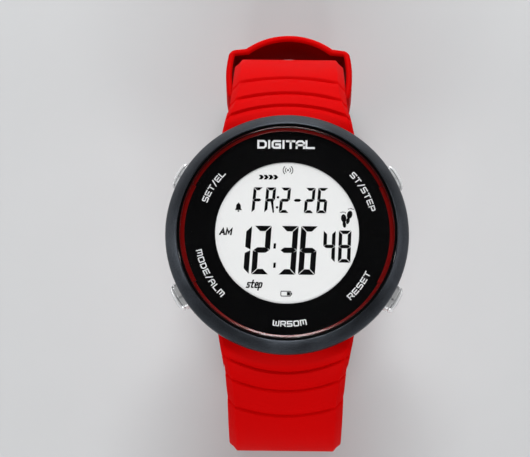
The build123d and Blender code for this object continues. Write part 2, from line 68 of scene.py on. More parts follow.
def surface(name, color, dark=0.9, rough=0.5, spread=0.05, grain=3000.0, patch=90.0, bump=0.0,
            bump_scale=None, metallic=0.0, specular=0.5, coat=0.0, stretch=None, ior=1.5):
    """Principled surface: colour in patches down to its dark share, patchy roughness, fine relief."""
    mat = bpy.data.materials.new(name)
    mat.use_nodes = True
    tree = mat.node_tree
    tree.nodes.clear()
    link = tree.links.new
    out = node(tree, "ShaderNodeOutputMaterial")
    shader = node(tree, "ShaderNodeBsdfPrincipled")
    shader.inputs["Metallic"].default_value = metallic
    shader.inputs["Specular IOR Level"].default_value = specular
    shader.inputs["IOR"].default_value = ior
    shader.inputs["Coat Weight"].default_value = coat
    shader.inputs["Coat Roughness"].default_value = 0.05
    link(shader.outputs[0], out.inputs[0])
    coords = node(tree, "ShaderNodeTexCoord")
    place = node(tree, "ShaderNodeMapping")
    if stretch:
        place.inputs["Scale"].default_value = stretch
    link(coords.outputs["Object"], place.inputs[0])
    fine = node(tree, "ShaderNodeTexNoise", Scale=grain, Detail=3.0, Roughness=0.6)
    broad = node(tree, "ShaderNodeTexNoise", Scale=patch, Detail=4.0, Roughness=0.55)
    link(place.outputs[0], fine.inputs[0])
    link(coords.outputs["Object"], broad.inputs[0])
    blend = node(tree, "ShaderNodeMath", operation="MULTIPLY")
    link(fine.outputs["Fac"], blend.inputs[0])
    link(broad.outputs["Fac"], blend.inputs[1])
    span = node(tree, "ShaderNodeMapRange")
    span.inputs["From Min"].default_value = 0.12
    span.inputs["From Max"].default_value = 0.42
    link(blend.outputs[0], span.inputs[0])
    mix = node(tree, "ShaderNodeMix", data_type="RGBA")
    mix.inputs[6].default_value = (*[c * dark for c in color], 1)
    mix.inputs[7].default_value = (*color, 1)
    link(span.outputs[0], mix.inputs[0])
    link(mix.outputs[2], shader.inputs["Base Color"])
    gloss = node(tree, "ShaderNodeMapRange")
    gloss.inputs["To Min"].default_value = max(0.02, rough - spread)
    gloss.inputs["To Max"].default_value = rough + spread
    gloss.inputs["From Min"].default_value = 0.3
    gloss.inputs["From Max"].default_value = 0.7
    link(broad.outputs["Fac"], gloss.inputs[0])
    link(gloss.outputs[0], shader.inputs["Roughness"])
    if bump:
        relief = node(tree, "ShaderNodeTexNoise", Scale=bump_scale or grain, Detail=2.0, Roughness=0.5)
        link(place.outputs[0], relief.inputs[0])
        raised = node(tree, "ShaderNodeBump", Strength=bump, Distance=0.00005)
        link(relief.outputs["Fac"], raised.inputs["Height"])
        link(raised.outputs[0], shader.inputs["Normal"])
    return mat


def glass(name):
    """Clear pane; lamps' rays go straight through it so that the dial below stays lit."""
    mat = bpy.data.materials.new(name)
    mat.use_nodes = True
    tree = mat.node_tree
    tree.nodes.clear()
    link = tree.links.new
    out = node(tree, "ShaderNodeOutputMaterial")
    pane = node(tree, "ShaderNodeBsdfPrincipled")
    pane.inputs["Base Color"].default_value = (0.99, 0.995, 1.0, 1)
    pane.inputs["IOR"].default_value = 1.45
    pane.inputs["Transmission Weight"].default_value = 1.0
    coords = node(tree, "ShaderNodeTexCoord")
    smear = node(tree, "ShaderNodeTexNoise", Scale=60.0, Detail=5.0)
    link(coords.outputs["Object"], smear.inputs[0])
    haze = node(tree, "ShaderNodeMapRange")
    haze.inputs["From Min"].default_value = 0.45
    haze.inputs["From Max"].default_value = 0.8
    haze.inputs["To Min"].default_value = 0.0
    haze.inputs["To Max"].default_value = 0.012
    link(smear.outputs["Fac"], haze.inputs[0])
    link(haze.outputs[0], pane.inputs["Roughness"])
    clear = node(tree, "ShaderNodeBsdfTransparent")
    path = node(tree, "ShaderNodeLightPath")
    either = node(tree, "ShaderNodeMath", operation="MAXIMUM")
    link(path.outputs["Is Shadow Ray"], either.inputs[0])
    link(path.outputs["Is Diffuse Ray"], either.inputs[1])
    choose = node(tree, "ShaderNodeMixShader")
    link(either.outputs[0], choose.inputs[0])
    link(pane.outputs[0], choose.inputs[1])
    link(clear.outputs[0], choose.inputs[2])
    link(choose.outputs[0], out.inputs[0])
    return mat


SILICONE = surface("silicone_red", (0.66, 0.0004, 0.0007), dark=0.93, rough=0.62, spread=0.05, grain=2600,
                   patch=70, bump=0.12, bump_scale=5200, specular=0.06, ior=1.3)
# Darker red for the keeper's inner wall: painted shade, standing in for the shadow deep inside the loop.
SILICONE_PAINTED_SHADE = surface("silicone_red_painted_shade", (0.20, 0.0002, 0.0003), dark=0.75, rough=0.75, grain=2600,
                         patch=70, bump=0.12, bump_scale=5200, specular=0.04, ior=1.3)
BEZEL_STEEL = surface("bezel_slate", (0.070, 0.079, 0.094), dark=0.5, rough=0.36, spread=0.04, grain=4200,
                      patch=160, bump=0.7, bump_scale=3400, metallic=0.9, specular=0.3)
CASE_PLASTIC = surface("case_plastic", (0.035, 0.038, 0.044), dark=0.8, rough=0.48, grain=4000, bump=0.25,
                       bump_scale=5000)
RING_RED = surface("ring_red", (0.150, 0.0016, 0.0014), dark=0.85, rough=0.15, spread=0.03, grain=2500,
                   patch=120, specular=0.5)
DIAL_BLACK = surface("dial_black", (0.0012, 0.0012, 0.0014), dark=0.6, rough=0.5, spread=0.05, grain=4000,
                     specular=0.02)
PRINT_WHITE = surface("print_white", (0.86, 0.87, 0.88), dark=0.94, rough=0.5, grain=6000, specular=0.1)
DISPLAY = surface("display_white", (0.86, 0.865, 0.86), dark=0.985, rough=0.6, grain=9000, patch=300,
                  specular=0.05)
SEGMENT = surface("segment_black", (0.002, 0.002, 0.0024), dark=0.7, rough=0.5, grain=5000, specular=0.03)
CHROME = surface("chrome", (0.93, 0.94, 0.95), dark=0.95, rough=0.24, spread=0.04, grain=1500, patch=300,
                 metallic=0.35)
BRUSHED = surface("brushed_steel", (0.55, 0.55, 0.56), dark=0.8, rough=0.30, spread=0.06, grain=2500,
                  patch=120, bump=0.3, metallic=1.0, stretch=(0.06, 1.0, 1.0))
STEEL = surface("plain_steel", (0.56, 0.56, 0.57), dark=0.85, rough=0.25, spread=0.05, grain=2500, patch=200,
                bump=0.1, metallic=1.0)
BLACK_RUBBER = surface("black_rubber", (0.012, 0.012, 0.012), dark=0.7, rough=0.7, grain=3000, bump=0.2,
                       specular=0.3)
GLASS = glass("crystal")
WHITE_PLASTIC = surface("white_plastic", (0.72, 0.72, 0.70), dark=0.93, rough=0.5, grain=2500, bump=0.1)
ZEBRA = surface("zebra_rubber", (0.45, 0.45, 0.42), dark=0.3, rough=0.6, grain=2500,
                stretch=(3.0, 0.05, 0.05))
BOARD = surface("board_green", (0.02, 0.13, 0.05), dark=0.7, rough=0.35, grain=900, bump=0.2, coat=0.3)
CHIP = surface("chip_black", (0.015, 0.015, 0.016), dark=0.7, rough=0.55, grain=5000, bump=0.3)
BRASS = surface("brass", (0.66, 0.47, 0.16), dark=0.85, rough=0.28, grain=2500, patch=200, metallic=1.0)

NODE_LOOKS = {
    "case_body": CASE_PLASTIC, "case_back": BRUSHED, "case_back_screws": STEEL,
    "case_back_gasket": BLACK_RUBBER, "lens": GLASS, "lens_gasket": BLACK_RUBBER, "dial_mask": DIAL_BLACK,
    "display_polariser": DISPLAY, "display_cell": DISPLAY, "backlight_panel": WHITE_PLASTIC,
    "display_holder": WHITE_PLASTIC,
    "connector_strips": ZEBRA, "circuit_board": BOARD, "board_components": CHIP,
    "module_frame": WHITE_PLASTIC,
    "module_screws": STEEL, "battery": BRUSHED, "battery_clip": STEEL, "battery_contact": BRASS,
    "buzzer_disc": BRASS, "buzzer_springs": BRASS, "switch_leaves": BRASS, "button_tubes": STEEL,
    "spring_bar_upper": STEEL, "spring_bar_lower": STEEL, "spring_bar_upper_pins": STEEL,
    "spring_bar_lower_pins": STEEL, "buckle_frame": BRUSHED, "buckle_tongue": BRUSHED, "buckle_bar": STEEL,
}
BUTTONS = {"upper_right": 30, "upper_left": 150, "lower_left": 210, "lower_right": 330}
for key in BUTTONS:
    NODE_LOOKS[f"button_{key}_seals"] = BLACK_RUBBER
    NODE_LOOKS[f"button_{key}_clip"] = STEEL
    NODE_LOOKS[f"button_{key}_spring"] = STEEL
for name, look in NODE_LOOKS.items():
    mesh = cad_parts[name].data
    mesh.materials.clear()
    mesh.materials.append(look)


# ---- Mesh building ------------------------------------------------------------------------------
def placed_object(name, data):
    obj = bpy.data.objects.new(name, data)
    bpy.context.scene.collection.objects.link(obj)
    return obj


def closed_mesh(name, verts, faces, weld):
    """A mesh with outward normals from millimetre points in case heights."""
    mesh = bpy.data.meshes.new(name)
    mesh.from_pydata([(x * MM, y * MM, (z + BASE) * MM) for x, y, z in verts], [], faces)
    work = bmesh.new()
    work.from_mesh(mesh)
    if weld:
        bmesh.ops.remove_doubles(work, verts=work.verts, dist=1e-7)
    bmesh.ops.recalc_face_normals(work, faces=work.faces)
    work.to_mesh(mesh)
    work.free()
    return mesh


def piece(name, verts, faces, look, body, slot, replaces=(), sharp=30.0, ride=True):
    """A mesh piece from millimetre points in case heights."""
    mesh = closed_mesh(name, verts, faces, weld=True)
    finish_mesh(mesh, look, sharp)
    obj = placed_object(name, mesh)
    if replaces:
        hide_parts(*replaces)
    if ride:
        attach(obj, body)
    return obj


def finish_mesh(mesh, look, sharp):
    mesh.materials.clear()
    mesh.materials.append(look)
    mesh.shade_smooth()
    mesh.set_sharp_from_angle(angle=radians(sharp))


def carve(obj, cutter_verts, cutter_faces, look, sharp):
    """Cuts a closed millimetre mesh out of a piece, for good."""
    cutter = placed_object("cutter", closed_mesh("cutter", cutter_verts, cutter_faces, weld=False))
    modifier = obj.modifiers.new("cut", "BOOLEAN")
    modifier.operation = "DIFFERENCE"
    modifier.solver = "EXACT"
    modifier.object = cutter
    bpy.context.view_layer.update()
    graph = bpy.context.evaluated_depsgraph_get()
    cut = bpy.data.meshes.new_from_object(obj.evaluated_get(graph))
    obj.modifiers.remove(modifier)
    obj.data = cut
    finish_mesh(cut, look, sharp)
    bpy.data.objects.remove(cutter)


def lathe(profile, count=256, start=0.0, stop=360.0):
    """A closed (radius, height) outline turned about the dial axis, whole or in part."""
    whole = stop - start >= 360.0
    stations = count if whole else count + 1
    verts, faces, size = [], [], len(profile)
    for i in range(stations):
        a = radians(start + (stop - start) * i / count)
        verts += [(r * cos(a), r * sin(a), z) for r, z in profile]
    for i in range(count):
        j = (i + 1) % stations
        for k in range(size):
            n = (k + 1) % size
            faces.append((i * size + k, j * size + k, j * size + n, i * size + n))
    if not whole:
        faces += [tuple(range(size)), tuple(range(count * size, (count + 1) * size))]
    return verts, faces


def arc_points(cx, cy, r, a0, a1, steps):
    angles = [radians(a0 + (a1 - a0) * i / steps) for i in range(steps + 1)]
    return [(cx + r * cos(a), cy + r * sin(a)) for a in angles]


def smooth(x, low, high):
    t = min(1.0, max(0.0, (x - low) / (high - low)))
    return t * t * (3 - 2 * t)


# ---- Bezel, accent ring, display window ---------------------------------------------------------
BEZEL_IN_R = 22.52


def bezel_profile():
    """Outline from the inner lip over the nearly straight flank and its rounded foot to the skirt."""
    lip = [(BEZEL_IN_R, 12.9), (BEZEL_IN_R, 14.12), (22.555, 14.20), (22.68, 14.29)]
    flank = [(22.72, 14.31)]
    start, turned_in, upright = -41, -55, -90  # slopes at the flank's start, its foot and the skirt
    flank_run, foot_r = 2.95, 1.6
    steps = [(flank_run / 12, start + (turned_in - start) * (i + 0.5) / 12) for i in range(12)]
    steps += [(foot_r * radians(35) / 8, turned_in + (upright - turned_in) * (i + 0.5) / 8) for i in range(8)]
    for size, slope in steps:
        r, z = flank[-1]
        flank.append((r + size * cos(radians(slope)), z + size * sin(radians(slope))))
    skirt = [(24.98, 11.0), (24.97, 10.85), (24.9, 10.74), (24.5, 10.45), (24.35, 10.41), (BEZEL_IN_R, 10.41)]
    return lip + flank + skirt


piece("bezel_shell", *lathe(bezel_profile(), 320), BEZEL_STEEL, "case", "bezel", ["bezel"], sharp=40)

RING_FOOT, RING_TOP, RING_OUT = 12.13, 12.68, 21.80
RING_TILT, RING_JOIN = 16, 0.18  # slope of its face and half the gap between its segments, in degrees
WIDE, NARROW = 20.98, 21.20  # inner radius at the sides, and at the top and bottom
ring_verts, ring_faces, edge_verts, edge_faces = [], [], [], []


def gather(verts, faces, part):
    """Adds one closed part to a growing mesh."""
    offset = len(verts)
    verts += part[0]
    faces += [tuple(i + offset for i in face) for face in part[1]]


for start, stop, near in ((-29, 27, WIDE), (27, 153, NARROW), (153, 209, WIDE), (209, 331, NARROW)):
    rise = RING_TOP - tan(radians(RING_TILT)) * (RING_OUT - 0.1 - near)
    band = [(near, RING_FOOT), (RING_OUT, RING_FOOT), (RING_OUT, RING_TOP - 0.02),
            (RING_OUT - 0.04, RING_TOP), (near + 0.07, rise), (near + 0.02, rise - 0.03), (near, rise - 0.09)]
    gather(ring_verts, ring_faces, lathe(band, 96, start + RING_JOIN, stop - RING_JOIN))
    border = [(20.66, 12.295), (20.66, 12.335), (near - 0.01, 12.335), (near - 0.01, RING_FOOT),
              (20.72, RING_FOOT), (20.72, 12.295)]
    gather(edge_verts, edge_faces, lathe(border, 96, start, stop))
piece("accent_band", ring_verts, ring_faces, RING_RED, "case", "red_gloss", ["accent_ring"], sharp=35)
piece("dial_border", edge_verts, edge_faces, DIAL_BLACK, "case", "black_gloss")
seat = [(RING_OUT + 0.02, RING_FOOT), (22.46, RING_FOOT), (22.46, 12.92), (RING_OUT + 0.02, 12.92)]
piece("crystal_seat", *lathe(seat, 256), DIAL_BLACK, "case", "black_rubber")
ink = [(RING_OUT + 0.02, 12.96), (21.985, 12.96), (21.985, 13.92), (21.90, 13.92), (RING_OUT + 0.02, 13.2)]
piece("crystal_black_edge", *lathe(ink, 256), DIAL_BLACK, "case", "black_gloss")
gasket = [(22.02, 12.96), (22.48, 12.96), (22.48, 13.95), (22.02, 13.88)]
piece("crystal_gasket", *lathe(gasket, 192), DIAL_BLACK, "case", "black_rubber", ["lens_gasket"])
window_lip = [(14.70, 12.10), (14.98, 12.10), (14.98, 12.33), (14.90, 12.35), (14.78, 12.33), (14.70, 12.26)]
piece("window_lip", *lathe(window_lip, 192), DIAL_BLACK, "case", "black_gloss")


# ---- Flat print: stroke letters, segment digits and icons ---------------------------------------
GLYPHS = {
    "A": [[(0, 0), (0, 0.75), (0.25, 1), (0.75, 1), (1, 0.75), (1, 0)], [(0, 0.42), (1, 0.42)]],
    "B": [[(0, 0), (0, 1), (0.85, 1), (0.95, 0.9), (0.95, 0.6), (0.85, 0.5), (0, 0.5)],
          [(0.85, 0.5), (1, 0.38), (1, 0.1), (0.9, 0), (0, 0)]],
    "D": [[(0, 0), (0, 1), (0.75, 1), (1, 0.75), (1, 0.25), (0.75, 0), (0, 0)]],
    "E": [[(1, 1), (0, 1), (0, 0), (1, 0)], [(0, 0.5), (0.9, 0.5)]],
    "G": [[(1, 1), (0.2, 1), (0, 0.8), (0, 0.2), (0.2, 0), (1, 0), (1, 0.5), (0.5, 0.5)]],
    "I": [[(0.5, 0), (0.5, 1)]],
    "L": [[(0, 1), (0, 0), (1, 0)]],
    "M": [[(0, 0), (0, 1), (0.9, 1), (1, 0.9), (1, 0)], [(0.5, 1), (0.5, 0.2)]],
    "O": [[(0.1, 0), (0.9, 0), (1, 0.1), (1, 0.9), (0.9, 1), (0.1, 1), (0, 0.9), (0, 0.1), (0.1, 0)]],
    "P": [[(0, 0), (0, 1), (0.9, 1), (1, 0.9), (1, 0.5), (0.9, 0.4), (0, 0.4)]],
    "R": [[(0, 0), (0, 1), (0.9, 1), (1, 0.9), (1, 0.52), (0.9, 0.42), (0, 0.42)], [(0.55, 0.42), (1, 0)]],
    "S": [[(1, 1), (0.1, 1), (0, 0.9), (0, 0.6), (0.1, 0.5), (0.9, 0.5), (1, 0.4), (1, 0.1), (0.9, 0),
           (0, 0)]],
    "T": [[(0, 1), (1, 1)], [(0.5, 1), (0.5, 0)]],
    "W": [[(0, 1), (0, 0.1), (0.1, 0), (0.9, 0), (1, 0.1), (1, 1)], [(0.5, 0), (0.5, 0.8)]],
    "0": [[(0.1, 0), (0.9, 0), (1, 0.1), (1, 0.9), (0.9, 1), (0.1, 1), (0, 0.9), (0, 0.1), (0.1, 0)]],
    "5": [[(1, 1), (0, 1), (0, 0.5), (0.9, 0.5), (1, 0.4), (1, 0.1), (0.9, 0), (0, 0)]],
    "/": [[(0, -0.1), (1, 1.1)]],
    "a": [[(0, 0), (0.5, 1), (1, 0)], [(0.2, 0.34), (0.8, 0.34)]],
    "m": [[(0, 0), (0, 1), (0.5, 0.25), (1, 1), (1, 0)]],
    "s": [[(0.95, 0.62), (0.2, 0.62), (0.1, 0.52), (0.2, 0.34), (0.8, 0.3), (0.9, 0.1), (0.75, 0), (0, 0)]],
    "t": [[(0.35, 0.95), (0.35, 0.1), (0.5, 0), (0.9, 0)], [(0, 0.62), (0.85, 0.62)]],
    "e": [[(0.05, 0.32), (0.95, 0.32), (0.95, 0.52), (0.8, 0.64), (0.2, 0.64), (0.05, 0.5), (0.05, 0.12),
           (0.2, 0), (0.9, 0)]],
    "p": [[(0, -0.35), (0, 0.62), (0.75, 0.62), (0.95, 0.5), (0.95, 0.12), (0.8, 0), (0, 0)]],
}
WIDTHS = {"I": 0.3, "/": 0.62, "M": 1.2, "W": 1.2, "m": 1.15}


def stroke(points, half):
    """A polyline as a flat mitred band: (points, quads)."""
    closed = points[0] == points[-1]
    line = points[:-1] if closed else points
    count = len(line)
    left, right = [], []
    for i, (x, y) in enumerate(line):
        before = line[i - 1] if (i or closed) else None
        behind = line[(i + 1) % count] if (i < count - 1 or closed) else None
        dirs = []
        for p, q in ((before, (x, y)), ((x, y), behind)):
            if p is not None and q is not None:
                d = hypot(q[0] - p[0], q[1] - p[1])
                dirs.append(((q[0] - p[0]) / d, (q[1] - p[1]) / d))
        nx = sum(-d[1] for d in dirs)
        ny = sum(d[0] for d in dirs)
        size = hypot(nx, ny)
        nx, ny = nx / size, ny / size
        reach = half / max(0.45, nx * -dirs[0][1] + ny * dirs[0][0])
        if len(dirs) == 1:  # square the open ends off a little beyond the point
            sign = -1 if before is None else 1
            x, y = x + sign * dirs[0][0] * half, y + sign * dirs[0][1] * half
        left.append((x + nx * reach, y + ny * reach))
        right.append((x - nx * reach, y - ny * reach))
    quads = [(i, i + 1, count + i + 1, count + i) for i in range(count - 1)]
    if closed:
        quads.append((count - 1, 0, count, 2 * count - 1))
    return left + right, quads


def letters(text, height, width, gap, half, slant=0.0):
    """Per letter: (centre along the line, [(points, quads)]), points about its centre and foot."""
    made, cursor = [], 0.0
    for char in text:
        wide = width * WIDTHS.get(char, 1.0)
        strokes = []
        for points in GLYPHS[char]:
            scaled = [((x - 0.5) * wide + slant * y * height, y * height) for x, y in points]
            strokes.append(stroke(scaled, half))
        made.append((cursor + wide / 2, strokes))
        cursor += wide + gap
    total = cursor - gap
    return [(at - total / 2, strokes) for at, strokes in made]


class Print:
    """Gathers flat marks that lie at one height."""

    def __init__(self, height):
        self.height = height
        self.verts, self.faces = [], []

    def add(self, points, faces):
        offset = len(self.verts)
        self.verts += [(x, y, self.height) for x, y in points]
        self.faces += [tuple(i + offset for i in face) for face in faces]

    def shape(self, points):
        self.add(points, [tuple(range(len(points)))])

    def disc(self, x, y, rx, ry=None, tilt=0.0, count=24):
        ry = ry or rx
        c, s = cos(radians(tilt)), sin(radians(tilt))
        loop = [(rx * cos(2 * pi * i / count), ry * sin(2 * pi * i / count)) for i in range(count)]
        self.shape([(x + a * c - b * s, y + a * s + b * c) for a, b in loop])

    def line(self, points, half):
        self.add(*stroke(points, half))

    def straight(self, text, x, y, height, width, gap, half, slant=0.0):
        for at, strokes in letters(text, height, width, gap, half, slant):
            for points, quads in strokes:
                self.add([(x + at + a, y + b) for a, b in points], quads)

    def curved(self, text, angle, radius, height, width, gap, half, inward):
        """Text centred at an angle on a circle; inward text has its head towards the centre."""
        for at, strokes in letters(text, height, width, gap, half):
            turn = degrees(at / radius)
            a = radians(angle + turn if inward else angle - turn)
            for points, quads in strokes:
                placed = []
                for px, py in points:
                    r = radius - (py - height / 2) if inward else radius + (py - height / 2)
                    along = px if inward else -px
                    placed.append((r * cos(a) - along * sin(a), r * sin(a) + along * cos(a)))
                self.add(placed, quads)

    def build(self, name, look, slot):
        piece(name, self.verts, self.faces, look, "case", slot, sharp=180)


LABEL_Z, SEGMENT_Z = 12.315, 12.065
labels = Print(LABEL_Z)
labels.straight("DIGITAL", -0.4, 17.75, 1.40, 1.52, 0.48, 0.21)
labels.curved("SET/EL", 148.0, 18.10, 1.02, 0.90, 0.42, 0.115, False)
labels.curved("ST/STEP", 29.3, 18.10, 1.02, 0.92, 0.46, 0.115, False)
labels.curved("MODE/ALM", 208.6, 18.35, 1.02, 0.92, 0.46, 0.115, True)
labels.curved("RESET", -36.2, 18.45, 1.02, 0.95, 0.45, 0.115, True)
labels.curved("WR50M", 272.2, 18.85, 0.96, 0.92, 0.42, 0.12, True)
labels.build("dial_labels", PRINT_WHITE, "black_gloss")

SEGMENTS = {
    "1": "bc", "2": "abged", "3": "abgcd", "4": "fgbc", "6": "afgedc", "8": "abcdefg", "F": "afge", "-": "g",
    "R": "abfgek",
}


def digit(marks, char, x0, x1, y0, y1, bar, slant=0.06, gap=0.09):
    """One seven-segment digit with mitred bars, in the box x0..x1, y0..y1 at its foot."""
    w, h = x1 - x0, y1 - y0
    mid = h / 2
    shapes = {
        "a": [(gap, h), (w - gap, h), (w - bar - gap, h - bar), (bar + gap, h - bar)],
        "d": [(gap, 0), (bar + gap, bar), (w - bar - gap, bar), (w - gap, 0)],
        "f": [(0, h - gap), (bar, h - bar - gap), (bar, mid + bar / 2 + gap), (0, mid + gap * 0.7)],
        "e": [(0, gap), (0, mid - gap * 0.7), (bar, mid - bar / 2 - gap), (bar, bar + gap)],
        "b": [(w, h - gap), (w, mid + gap * 0.7), (w - bar, mid + bar / 2 + gap), (w - bar, h - bar - gap)],
        "c": [(w, gap), (w - bar, bar + gap), (w - bar, mid - bar / 2 - gap), (w, mid - gap * 0.7)],
        "g": [(gap * 1.5, mid), (bar * 0.7 + gap, mid + bar * 0.5), (w - bar * 0.7 - gap, mid + bar * 0.5),
              (w - gap * 1.5, mid), (w - bar * 0.7 - gap, mid - bar * 0.5),
              (bar * 0.7 + gap, mid - bar * 0.5)],
        "k": [(w * 0.55, mid - gap * 2), (w * 0.55 + bar * 0.9, mid - gap * 2), (w, bar * 0.6), (w, 0),
              (w - bar * 0.4, 0)],
    }
    for key in SEGMENTS[char]:
        marks.shape([(x0 + a + slant * b, y0 + b) for a, b in shapes[key]])


lcd = Print(SEGMENT_Z)
BIG_Y0, BIG_Y1, BIG_BAR = -8.66, 1.43, 1.12
SMALL_Y0, SMALL_Y1, SMALL_BAR = -6.05, 0.6, 0.72
ROW_Y0, ROW_Y1, ROW_BAR, ROW_SLANT = 4.15, 9.45, 0.62, 0.08
for char, x0, x1 in (("1", -9.35, -7.75), ("2", -7.25, -3.75), ("3", -1.75, 1.75), ("6", 2.3, 5.75)):
    digit(lcd, char, x0, x1, BIG_Y0, BIG_Y1, BIG_BAR)
for y in (-2.75, -6.75):
    lcd.shape([(-2.78, y - 0.55), (-2.28, y - 0.55), (-2.2, y + 0.55), (-2.7, y + 0.55)])
for char, x0, x1 in (("4", 7.3, 9.75), ("8", 10.4, 12.95)):
    digit(lcd, char, x0, x1, SMALL_Y0, SMALL_Y1, SMALL_BAR, slant=0.03)
for char, x0, x1 in (("F", -7.35, -5.45), ("R", -4.75, -2.75), ("2", -1.75, 0.3), ("-", 0.95, 2.75),
                     ("2", 3.35, 5.35), ("6", 5.9, 7.95)):
    digit(lcd, char, x0, x1, ROW_Y0, ROW_Y1, ROW_BAR, slant=ROW_SLANT, gap=0.07)
for y in (5.3, 7.4):
    lcd.disc(-2.2 + ROW_SLANT * (y - ROW_Y0), y, 0.26)
for i in range(4):  # chevrons
    x = -5.95 + i * 0.98
    lcd.shape([(x, 11.12), (x + 0.66, 11.12), (x + 1.1, 11.6), (x + 0.66, 12.08), (x, 12.08),
               (x + 0.38, 11.6)])
for x, rise, tilt in ((11.55, 0.0, 6), (12.75, 0.75, -14)):  # footprints
    lean = -sin(radians(tilt))
    lcd.disc(x, 3.15 + rise, 0.56, 0.86, tilt)
    lcd.disc(x - 1.35 * lean, 1.9 + rise, 0.36, 0.72, tilt)
    for j in range(4):
        lcd.disc(x - 0.45 + 0.3 * j + 1.0 * lean, 4.35 + rise + 0.12 * sin(1.2 * j), 0.12)
# Bell, words, battery.
lcd.shape([(-10.75, 4.65), (-9.25, 4.65), (-9.5, 5.0), (-9.52, 5.6), (-9.72, 6.0), (-10.28, 6.0),
           (-10.48, 5.6), (-10.5, 5.0)])
lcd.disc(-10.0, 6.08, 0.14)
lcd.disc(-10.0, 4.45, 0.2, 0.16)
lcd.straight("am", -12.6, -0.4, 1.12, 0.86, 0.36, 0.18, slant=0.2)
lcd.straight("step", -6.65, -11.35, 1.5, 0.52, 0.30, 0.15, slant=0.25)
lcd.line([(-1.05, -13.1), (0.75, -13.1), (0.9, -12.95), (0.9, -12.25), (0.75, -12.1), (-1.05, -12.1)], 0.08)
lcd.line([(-1.05, -12.1), (-1.15, -12.35), (-1.15, -12.85), (-1.05, -13.1)], 0.08)
lcd.shape([(0.1, -12.95), (0.75, -12.95), (0.75, -12.25), (0.1, -12.25)])
lcd.shape([(0.95, -12.8), (1.15, -12.8), (1.15, -12.4), (0.95, -12.4)])
for radius in (0.55, 1.0):  # radio waves: a dot between pairs of arcs
    for side in (0, 180):
        lcd.line(arc_points(0.05, 13.1, radius, side - 48, side + 48, 8), 0.08)
lcd.disc(0.05, 13.1, 0.2)
lcd.build("display_segments", SEGMENT, "chip")


# ---- Buttons ------------------------------------------------------------------------------------
BUTTON_Z = 6.9
CAP_LENGTH, CAP_HEIGHT, CAP_CORNER = 5.8, 3.1, 0.95


def pill_loop(length, height, inset, steps=7):
    """Outline of a bar with rounded corners: (tangential, vertical) points."""
    r = max(0.2, CAP_CORNER - inset)
    a, b = length / 2 - inset - r, height / 2 - inset - r
    right = arc_points(a, -b, r, -90, 0, steps) + arc_points(a, b, r, 0, 90, steps)
    left = arc_points(-a, b, r, 90, 180, steps) + arc_points(-a, -b, r, 180, 270, steps)
    run = [a * (1 - 2 * i / 9) for i in range(1, 9)]
    return right + [(x, b + r) for x in run] + left + [(-x, -b - r) for x in run]


def turned(points, angle):
    """Points modelled along +X at the buttons' height, turned to their place."""
    a = radians(angle)
    return [(x * cos(a) - y * sin(a), x * sin(a) + y * cos(a), z + BUTTON_Z) for x, y, z in points]


def tube_faces(rows, size):
    faces = []
    for i in range(rows - 1):
        for k in range(size):
            n = (k + 1) % size
            faces.append((i * size + k, i * size + n, (i + 1) * size + n, (i + 1) * size + k))
    faces += [tuple(range(size)), tuple(range((rows - 1) * size, rows * size))]
    return faces


# Radius from the dial axis, and inset of the outline there or radius of the stem there.
CAP_ROWS = [
    (23.25, 0.15), (23.4, 0.0), (24.3, 0.0), (25.1, 0.02), (25.58, 0.04), (25.63, 0.09), (25.66, 0.38),
    (25.88, 0.38), (25.91, 0.09), (25.97, 0.04), (26.12, 0.06), (26.28, 0.15), (26.40, 0.3), (26.47, 0.5),
    (26.5, 0.8),
]
STEM_ROWS = [
    (17.42, 0.75), (17.5, 0.9), (17.7, 0.9), (17.72, 0.64), (18.08, 0.64), (18.1, 0.9), (19.15, 0.9),
    (19.16, 0.71), (19.54, 0.71), (19.55, 0.9), (19.85, 0.9), (19.86, 0.71), (20.24, 0.71), (20.25, 0.9),
    (23.3, 0.9),
]
CAP_SHARP = 38
CAP_BOW = 0.5  # how far the ends of the outer face fall back behind its middle
for key, angle in BUTTONS.items():
    verts, size = [], None
    for r, inset in CAP_ROWS:
        loop = pill_loop(CAP_LENGTH, CAP_HEIGHT, inset)
        size = len(loop)
        bow = CAP_BOW * smooth(r, 24.6, 25.8)
        verts += [(r - bow * abs(2 * a / CAP_LENGTH) ** 2.6, a, b) for a, b in loop]
    cap = piece(f"button_{key}_cap", turned(verts, angle), tube_faces(len(CAP_ROWS), size), CHROME,
                f"button_{key}", "chrome", [f"button_{key}"], sharp=CAP_SHARP, ride=False)
    slot_side = -0.35 if angle in (30, 150) else 0.25
    slot_side *= 1 if angle in (30, 210) else -1
    box = [(x, y + slot_side, z) for x in (24.2, 25.70) for y in (-0.2, 0.2) for z in (1.0, 2.2)]
    box_faces = [(0, 1, 3, 2), (4, 6, 7, 5), (0, 4, 5, 1), (2, 3, 7, 6), (0, 2, 6, 4), (1, 5, 7, 3)]
    carve(cap, turned(box, angle), box_faces, CHROME, CAP_SHARP)
    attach(cap, f"button_{key}")
    rod = []
    for r, radius in STEM_ROWS:
        rod += [(r, a, b) for a, b in arc_points(0, 0, radius, 0, 345, 23)]
    piece(f"button_{key}_stem", turned(rod, angle), tube_faces(len(STEM_ROWS), 24), STEEL,
          f"button_{key}", "chrome")


